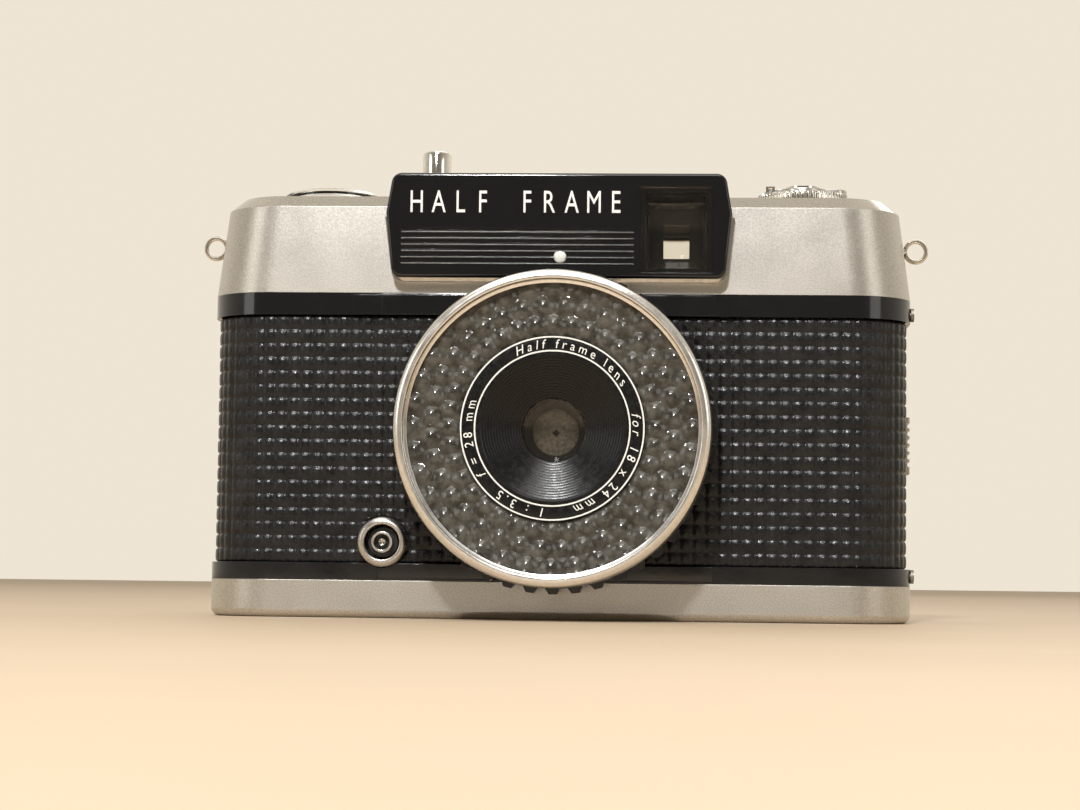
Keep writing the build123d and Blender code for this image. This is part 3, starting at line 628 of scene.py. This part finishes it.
def lens_cone():
    """Black funnel with fine baffle grooves down to the front glass."""
    low, high = box_mm("lens_cell")
    wide, narrow, deep = 11.15, 4.72, -24.75
    grooves = 15
    profile = [(wide - 0.02, high.y), (wide - 0.02, low.y), (wide - 0.45, low.y)]
    for k in range(1, grooves + 1):
        share = k / grooves
        radius = wide - 0.45 + (narrow - wide + 0.45) * share
        along = low.y + (deep - low.y) * share
        step = (wide - narrow) / grooves
        crest = (radius + step * 0.42, along - 0.1)
        profile += [crest, (radius + step * 0.1, along - 0.02), (radius, along + 0.12)]
    profile += [(narrow, high.y)]
    verts, faces = lathe(profile, about_y(LENS_X, LENS_Z), 128)
    add_piece("lens_cone_grooved", verts, faces, "root", "matte_black", MATERIALS["name_black"],
              ["lens_cell"], 25)


def front_glass():
    """The front lens element, with smooth curved faces in place of the faceted CAD ones."""
    low, high = box_mm("lens_element_front")
    radius = (high.x - low.x) / 2
    bulge_front, bulge_back = 0.02, 0.45
    steps = 8
    front = [(radius * k / steps, low.y + bulge_front * (1 - (k / steps) ** 2)) for k in range(steps + 1)]
    back = [(radius * k / steps, high.y - bulge_back * (k / steps) ** 2) for k in range(steps, -1, -1)]
    verts, faces = lathe(front + back, about_y(LENS_X, LENS_Z), 64, closed=False)
    add_piece("front_glass", verts, faces, "root", "clear_glass", MATERIALS["clear_glass"],
              ["lens_element_front"])


def setting_scale():
    """Numbers on the sloping band of the setting ring."""
    low = box_mm("setting_ring")[0]
    speeds = ("2.8", "4", "5.6", "8", "11", "16", "22", "A", "25", "50", "100", "200", "400")
    middle, apart = len(speeds) // 2, 17
    parts = []
    for k, text in enumerate(speeds):
        angle = math.radians(90 + (k - middle) * apart)

        def place(across, up, out, angle=angle):
            along = low.y + 0.35 + up
            radius = 22.6 + (along - low.y) * 0.25 + 0.03 + out
            turn = angle - across / radius
            return LENS_X + radius * math.cos(turn), along, LENS_Z + radius * math.sin(turn)

        parts.append(mapped(glyphs(text, 1.35, 0.9), place))
    verts, faces = joined(parts)
    add_piece("setting_ring_numbers", verts, faces, "setting_ring", "index_white", WHITE_PAINT)


# ---------------------------------------------------------------- bezel, index dot, sync socket, strap lugs

def on_front(x, front):
    return lambda across, up, out: (x + across, front - out, up)


def bezel_lettering():
    low = box_mm("front_bezel")[0]
    left, right, foot, head = -23.2, 10.4, low.z + 9.9, low.z + 13.3
    words = "HALF FRAME"
    pitch = (right - left) / len(words)
    parts = []
    for k, letter in enumerate(words):
        if letter == " ":
            continue
        verts, faces = glyphs(letter, head - foot, 0.66, 0.08)
        middle = (min(v[0] for v in verts) + max(v[0] for v in verts)) / 2
        place = on_front(left + (k + 0.5) * pitch - middle, low.y)
        parts.append(([place(x, y + (foot + head) / 2, out) for x, y, out in verts], faces))
    verts, faces = joined(parts)
    add_piece("bezel_lettering", verts, faces, "root", "index_white", WHITE_PAINT)


def bezel_ribs():
    """Fine half-round ribs along the lower part of the bezel."""
    low = box_mm("front_bezel")[0]
    left, right, foot, pitch, radius = -23.8, 11.4, low.z + 2.12, 0.96, 0.13
    turns = [math.pi * i / 6 for i in range(7)]
    parts = []
    for k in range(6):
        z = foot + k * pitch
        bar = [(low.y - radius * math.sin(a), z + radius * math.cos(a)) for a in turns]
        bar = [(low.y + 0.1, z + radius), *bar, (low.y + 0.1, z - radius)]
        parts.append(prism(bar, lambda y, up, level: (level, y, up), left, right))
    verts, faces = joined(parts)
    add_piece("bezel_ribs", verts, faces, "root", "bezel_black", RIB_GREY)


def bezel_rim():
    """Thin polished edge that shows round the sides and foot of the black bezel."""
    low, high = box_mm("front_bezel")
    wide, step, corner = (high.x - low.x) / 2, 1.0, 1.7
    foot, top = low.z, low.z + 9.6

    def edge(grow):
        left = [(-wide - grow, top), (-wide + step - grow, foot + corner)]
        bend = [(-wide + step + corner - corner * math.cos(a) - grow * math.cos(a),
                 foot + corner - (corner + grow) * math.sin(a)) for a in (0.4, 0.8, 1.2, math.pi / 2)]
        half = left + bend
        return half + [(-x, z) for x, z in reversed(half)]

    outline = edge(0.42) + list(reversed(edge(-0.5)))
    front, back = high.y - 0.7, high.y
    verts, faces = prism(outline, lambda x, z, level: (x, level, z), front, back)
    add_piece("bezel_rim_polished", verts, faces, "root", "chrome", MATERIALS["chrome"])


def index_dot():
    low, high = box_mm("index_dot")
    radius = (high.x - low.x) / 2
    steps = 6
    turns = [k * math.pi / 2 / steps for k in range(steps + 1)]
    dome = [(radius * math.sin(a), high.y - 0.2 - 0.35 * math.cos(a)) for a in turns]
    back = [(radius, high.y), (0, high.y)]
    middle = (low + high) / 2
    verts, faces = lathe(dome + back, about_y(middle.x, middle.z), 40, closed=False)
    add_piece("index_dot_domed", verts, faces, "root", "index_white", MATERIALS["index_white"], ["index_dot"])


def sync_socket():
    x, z = COLLAR.x, COLLAR.z
    place = about_y(x, z)
    front = box_mm("sync_collar")[0].y
    seat, tail = -12.95, -12.3
    turned("sync_collar_turned",
           [(2.65, front), (3.3, front), (3.8, front + 0.45), (3.8, seat), (2.75, seat), (2.75, tail),
            (2.3, tail), (2.3, -12.8), (2.65, -13.1)], place, "sync_collar", radius=0.22, segments=72)
    sleeve_low, sleeve_high = box_mm("sync_sleeve")
    turned("sync_sleeve_turned",
           [(1.2, sleeve_low.y), (1.63, sleeve_low.y), (1.63, sleeve_high.y), (1.2, sleeve_high.y)],
           place, "sync_sleeve", radius=0.12, segments=56)
    pin_low, pin_high = box_mm("sync_pin")
    hollow = [(0, pin_low.y + 1.2), (0.38, pin_low.y + 1.1), (0.42, pin_low.y + 0.02), (0.5, pin_low.y),
              (0.6, pin_low.y + 0.12), (0.6, pin_high.y), (0, pin_high.y)]
    verts, faces = lathe(hollow, place, 32, closed=False)
    add_piece("sync_pin_turned", verts, faces, "root", "brass_parts", MATERIALS["steel_parts"], ["sync_pin"])


def strap_lugs():
    """Rounded eyes on short turned stems."""
    for side, node in ((-1, "strap_lug_left"), (1, "strap_lug_right")):
        low, high = box_mm(node)
        middle_z = (low.z + high.z) / 2
        eye_x = (high.x - 2.0) if side > 0 else (low.x + 2.0)
        half = 0.6
        rim = [(1.63 + 0.37 * math.cos(a), half * math.sin(a)) for a in (TAU * k / 14 for k in range(14))]
        ring = lathe(rim, about_y(eye_x, middle_z), 48)
        root_x = low.x if side > 0 else high.x
        reach = abs(eye_x - root_x) - 1.55
        stem_profile = [(0, 0), (1.1, 0), (1.1, reach - 1.2), (0.75, reach - 0.7), (0.62, reach), (0, reach)]

        def place(radius, along, angle, side=side, root_x=root_x, middle_z=middle_z):
            return root_x + side * along, radius * math.cos(angle), middle_z + radius * math.sin(angle)

        stem = lathe(stem_profile, place, 32, closed=False)
        verts, faces = joined([ring, stem])
        add_piece(node + "_rounded", verts, faces, "root", "chrome", MATERIALS["chrome"], [node])


# ---------------------------------------------------------------- top controls and fasteners

SHOE_PLATE = 0.85
BASE_SCREWS = ((-44, -4), (44, -4), (14, 8))
SHOE_SCREWS = tuple((side * 7.2, y) for side in (-1, 1) for y in (0.0, 9.4))


def shutter_button():
    low, high = box_mm("shutter_button")
    x, y = (low.x + high.x) / 2, (low.y + high.y) / 2
    radius = (high.x - low.x) / 2
    top = high.z
    bore = 1.05
    profile = [(0, low.z), (1.2, low.z), (1.2, top - 9.2), (radius, top - 9.2), (radius, top - 0.5),
               (radius - 0.12, top - 0.15), (radius - 0.45, top), (bore + 0.3, top), (bore, top - 0.35)]
    for turn in range(6):
        profile += [(bore, top - 0.55 - turn * 0.5), (bore + 0.12, top - 0.8 - turn * 0.5)]
    profile += [(bore, top - 4.5), (0, top - 4.5)]
    verts, faces = lathe(profile, about_z(x, y), 72, closed=False)
    add_piece("shutter_button_turned", verts, faces, BODY_OF["shutter_button"], "chrome", MATERIALS["chrome"],
              ["shutter_button"])


def counter_numbers():
    """Frame numbers on the counter's dial, under its clear dome."""
    low, high = box_mm("counter_dial")
    x, y, top = (low.x + high.x) / 2, (low.y + high.y) / 2, high.z
    parts = []
    for k in range(36):
        angle = -TAU * k / 36
        if k % 5 == 0:
            place = on_dial(x, y, top, 5.0, angle)
            parts.append(mapped(glyphs(str(2 * k), 1.15, 0.8), place))
        tick = [(-0.07, 0), (0.07, 0), (0.07, 0.45 if k % 5 else 0.6), (-0.07, 0.45 if k % 5 else 0.6)]
        place = on_dial(x, y, top, 6.15, angle)
        parts.append(prism(tick, lambda u, v, level, place=place: place(u, v, level), 0.0, 0.04))
    verts, faces = joined(parts)
    add_piece("counter_numbers", verts, faces, BODY_OF["counter_dial"], "index_white", WHITE_PAINT)


def on_dial(x, y, top, radius, angle):
    """Lettering on a flat dial, with its feet to the middle."""
    def place(across, up, out):
        reach = radius + up
        turn = angle - across / radius
        return x + reach * math.cos(turn), y + reach * math.sin(turn), top + out
    return place


def counter_dome():
    low, high = box_mm("counter_window")
    x, y = (low.x + high.x) / 2, (low.y + high.y) / 2
    edge, top = (high.x - low.x) / 2, high.z
    steps = 10
    dome_r, rise, shoulder = 7.6, 1.5, low.z + 0.65
    turns = [k / steps * math.pi / 2 for k in range(steps)]
    dome = [(dome_r * math.sin(a), top - rise + rise * math.cos(a) ** 0.8) for a in turns]
    shell = [(dome_r, top - 1.9), (dome_r, shoulder), (edge, shoulder), (edge, low.z), (7.0, low.z),
             (7.0, top - 2.0)]
    under = [(6.6, top - 1.6), (4.2, top - 0.9), (0, top - 0.65)]
    verts, faces = lathe(dome + shell + under, about_z(x, y), 96, closed=False)
    add_piece("counter_dome", verts, faces, "root", "clear_plastic", MATERIALS["clear_plastic"],
              ["counter_window"])
    inside, outside, foot = 7.66, 8.75, low.z + 1.15
    rim = [(inside, foot), (8.3, foot), (outside, low.z + 1.6), (outside, low.z + 1.95),
           (inside, low.z + 2.2)]
    verts, faces = lathe(soften(rim, 0.12), about_z(x, y), 96)
    add_piece("counter_bezel", verts, faces, "root", "chrome", MATERIALS["chrome"])


def slotted_screw(x, y, head_r, level, thick, up, shank_r, shank_to):
    """Head in two halves with a slot between them, on a thin washer face, and its shank."""
    slot, parts = 0.16, []
    deep = level - up * thick * 0.55
    under = level - up * thick
    arc = [math.asin(slot / head_r) + (math.pi - 2 * math.asin(slot / head_r)) * k / 16 for k in range(17)]
    for half in (1, -1):
        flat = [(head_r * math.cos(a), half * head_r * math.sin(a)) for a in arc]
        parts.append(prism(flat, lambda u, v, z: (x + u, y + v, z), deep, level))
    washer = [(0, deep), (head_r, deep), (head_r, under), (0, under)]
    shank = [(0, under), (shank_r, under), (shank_r, shank_to), (0, shank_to)]
    parts.append(lathe(washer, about_z(x, y), 36, closed=False))
    parts.append(lathe(shank, about_z(x, y), 20, closed=False))
    return joined(parts)


def accessory_shoe():
    """Folded rails on a flush plate, open at the back, with a stop at the front."""
    low, high = box_mm("hot_shoe")
    plate, lip = low.z + SHOE_PLATE, high.z - 0.6
    side, wall, reach = high.x, high.x - 0.8, high.x - 3.9
    section = [(-side, low.z), (side, low.z), (side, high.z), (reach, high.z), (reach, lip), (wall, lip),
               (wall, plate), (-wall, plate), (-wall, lip), (-reach, lip), (-reach, high.z), (-side, high.z)]
    rails = prism(soften(section, 0.14), lambda u, v, level: (u, level, v), low.y, high.y)
    ledge = [(-reach, plate - 0.1), (reach, plate - 0.1), (reach, plate + 1.6), (-reach, plate + 1.6)]
    stop = prism(soften(ledge, 0.14), lambda u, v, level: (u, level, v), low.y, low.y + 0.8)
    verts, faces = joined([rails, stop])
    slot = SLOT_OF["hot_shoe"]
    add_piece("shoe_folded", verts, faces, "root", slot, MATERIALS[slot], ["hot_shoe"])


def screws():
    """Three in the base, heads down, and four that hold the accessory shoe, heads up."""
    low = box_mm("screws")[0]
    plateau = box_mm("hot_shoe")[0].z + SHOE_PLATE
    parts = [slotted_screw(x, y, 1.4, low.z, 0.35, -1, 0.65, 5.6) for x, y in BASE_SCREWS]
    parts += [slotted_screw(x, y, 1.25, plateau + 0.35, 0.33, 1, 0.6, plateau - 2.4) for x, y in SHOE_SCREWS]
    verts, faces = joined(parts)
    add_piece("screws_slotted", verts, faces, "root", "steel_parts", MATERIALS["steel_parts"], ["screws"])


def side_screws():
    """Slotted heads in the two holes below the strap eyes."""
    level, radius, slot, face = 52.3, 0.63, 0.1, 53.5
    halves = []
    for way in (-1, 1):
        start = math.asin(slot / radius)
        turns = [start + (math.pi - 2 * start) * k / 12 for k in range(13)]
        halves.append([(radius * math.cos(a), way * radius * math.sin(a)) for a in turns])
    whole = [(radius * math.cos(TAU * k / 24), radius * math.sin(TAU * k / 24)) for k in range(24)]
    parts = []
    for side in (-1, 1):

        def place(u, v, out, side=side):
            return side * out, u, level + v

        parts += [prism(half, place, face - 0.3, face) for half in halves]
        parts.append(prism(whole, place, face - 0.9, face - 0.25))
    verts, faces = joined(parts)
    add_piece("side_screws", verts, faces, "root", "steel_parts", MATERIALS["steel_parts"])


# ---------------------------------------------------------------- CAD nodes

CRISP_NODES = ("top_cover", "base_plate", "body_casting", "casting_spool_end", "casting_cartridge_end",
               "back_door", "front_bezel", "setting_ring", "rewind_knob", "rewind_crank", "wind_wheel",
               "door_latch")
EDGE_WIDTH = 0.12
EDGE_ANGLE = 38.0


def crisp_edges(node):
    """Breaks the hard edges of a CAD node with a small bevel, after merging its flat triangles."""
    piece = NODES[node]
    weld = piece.modifiers.new("weld", "WELD")
    weld.merge_threshold = 0.001 * MM
    flat = piece.modifiers.new("flat", "DECIMATE")
    flat.decimate_type = "DISSOLVE"
    flat.angle_limit = math.radians(0.3)
    bevel = piece.modifiers.new("edge", "BEVEL")
    bevel.width = EDGE_WIDTH * MM
    bevel.segments = 2
    bevel.limit_method = "ANGLE"
    bevel.angle_limit = math.radians(EDGE_ANGLE)
    bevel.use_clamp_overlap = True
    normals = piece.modifiers.new("normals", "WEIGHTED_NORMAL")
    normals.weight = 100


def finish_cad_nodes():
    for node, piece in NODES.items():
        piece.data.materials.clear()
        piece.data.materials.append(MATERIALS[SLOT_OF[node]])
    for side in ("left", "right"):
        NODES[f"shutter_{side}_blade"].data.materials[0] = MATERIALS["spool_plastic"]


# ---------------------------------------------------------------- floor, light, camera

def studio():
    floor_mesh = bpy.data.meshes.new("floor")
    half = 3.0
    corners = [(-half, -half, 0), (half, -half, 0), (half, half, 0), (-half, half, 0)]
    floor_mesh.from_pydata(corners, [], [[0, 1, 2, 3]])
    floor = bpy.data.objects.new("floor", floor_mesh)
    bpy.context.scene.collection.objects.link(floor)
    paint = Finish("floor_paint", (0.51, 0.4, 0.285), 0.0, 0.6)
    paint.color_between(paint.noise(60.0, 2.0), (0.5, 0.393, 0.279), (0.52, 0.407, 0.291))
    floor_mesh.materials.append(paint.bump(paint.noise(1.0), 0.01, 0.1).material)

    world = bpy.data.worlds.new("studio")
    world.use_nodes = True
    tree = world.node_tree
    sky = tree.nodes["Background"]
    sky.inputs["Color"].default_value = (0.9, 0.82, 0.69, 1)
    way = tree.nodes.new("ShaderNodeTexCoord")
    split = tree.nodes.new("ShaderNodeSeparateXYZ")
    fade = tree.nodes.new("ShaderNodeMapRange")
    fade.inputs["From Min"].default_value = -0.9
    fade.inputs["From Max"].default_value = 0.5
    fade.inputs["To Min"].default_value = 0.22
    fade.inputs["To Max"].default_value = 0.95
    tree.links.new(way.outputs["Generated"], split.inputs[0])
    tree.links.new(split.outputs["Y"], fade.inputs["Value"])
    tree.links.new(fade.outputs["Result"], sky.inputs["Strength"])
    bpy.context.scene.world = world

    def panel(name, place, target, wide, tall, watts, color=(1, 0.97, 0.92)):
        light = bpy.data.lights.new(name, "AREA")
        light.shape = "RECTANGLE"
        light.size = wide
        light.size_y = tall
        light.energy = watts
        light.color = color
        lamp = bpy.data.objects.new(name, light)
        lamp.location = place
        lamp.rotation_euler = (Vector(target) - Vector(place)).to_track_quat("-Z", "Y").to_euler()
        bpy.context.scene.collection.objects.link(lamp)

    panel("ceiling", (-0.05, -0.3, 0.95), (0, 0, 0.04), 1.0, 0.6, 3.4)
    panel("front_high", (0.0, -0.8, 0.85), (0, 0, 0.05), 0.5, 0.3, 2.6)
    panel("front_left", (-0.9, -0.7, 0.35), (0, 0, 0.04), 0.4, 0.5, 1.2)
    panel("front_right", (0.9, -0.7, 0.35), (0, 0, 0.03), 0.4, 0.5, 1.0)
    panel("back", (0.2, 0.9, 0.6), (0, 0, 0.04), 0.7, 0.4, 1.0)
    panel("small_lamp", (-0.06, -0.62, 0.42), (0, 0, 0.03), 0.05, 0.05, 3.2, (1, 1, 1))
    bpy.context.scene.view_settings.view_transform = "Standard"


def camera():
    """Low and right of the lens, turned a little left and up, 39 cm in front, with a short telephoto."""
    data = bpy.data.cameras.new("camera")
    data.sensor_width = 36.0
    data.lens = 83.2
    data.clip_start = 0.02
    seat = bpy.data.objects.new("camera", data)
    yaw, pitch, roll = math.radians(3.204), math.radians(4.034), math.radians(0.695)
    ahead = Vector((-math.sin(yaw) * math.cos(pitch), math.cos(yaw) * math.cos(pitch), math.sin(pitch)))
    right = Vector((math.cos(yaw), math.sin(yaw), 0))
    up = right.cross(ahead)
    leaned_right = right * math.cos(roll) + up * math.sin(roll)
    leaned_up = up * math.cos(roll) - right * math.sin(roll)
    turn = Matrix((leaned_right, leaned_up, -ahead)).transposed().to_4x4()
    stand = Vector((18.47, -391.0, 5.88)) * MM
    seat.matrix_world = Matrix.Translation(stand) @ turn
    bpy.context.scene.collection.objects.link(seat)
    bpy.context.scene.camera = seat


finish_cad_nodes()
for crisp_node in CRISP_NODES:
    crisp_edges(crisp_node)
coverings()
chrome_ring()
retaining_lip()
bubble_window()
lens_stop()
cell_grid()
name_ring()
lens_cone()
front_glass()
setting_scale()
bezel_lettering()
bezel_ribs()
bezel_rim()
index_dot()
sync_socket()
strap_lugs()
shutter_button()
counter_numbers()
counter_dome()
accessory_shoe()
screws()
side_screws()
studio()
camera()
